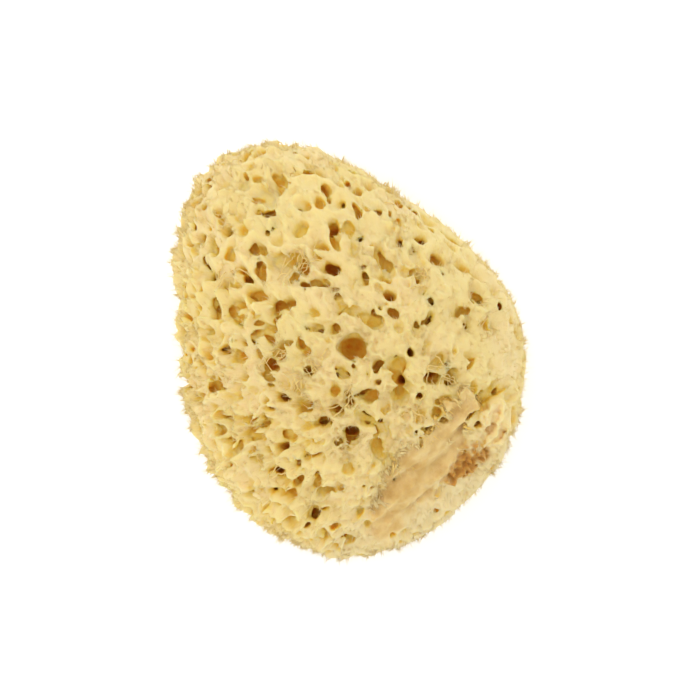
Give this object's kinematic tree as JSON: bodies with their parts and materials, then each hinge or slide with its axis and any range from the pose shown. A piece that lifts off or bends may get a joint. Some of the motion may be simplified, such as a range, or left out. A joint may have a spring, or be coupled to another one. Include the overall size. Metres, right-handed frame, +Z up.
{
  "type": "natural sea sponge",
  "caption": "Rounded natural bath sponge, coarse and open-pored, with deep outflow holes and a flat place where it was cut from rock.",
  "frame": {"origin": "on the resting plane, below the middle of the outline seen from above", "axes": "+Z up from the flattened underside, +Y along the sponge's length towards its broad end, +X across it"},
  "size_m": [0.116, 0.138, 0.086],
  "materials": {
    "fibre": "matte, felted natural fibre"
  },
  "bodies": {
    "root": {"sponge": "fibre"}
  },
  "joints": []
}
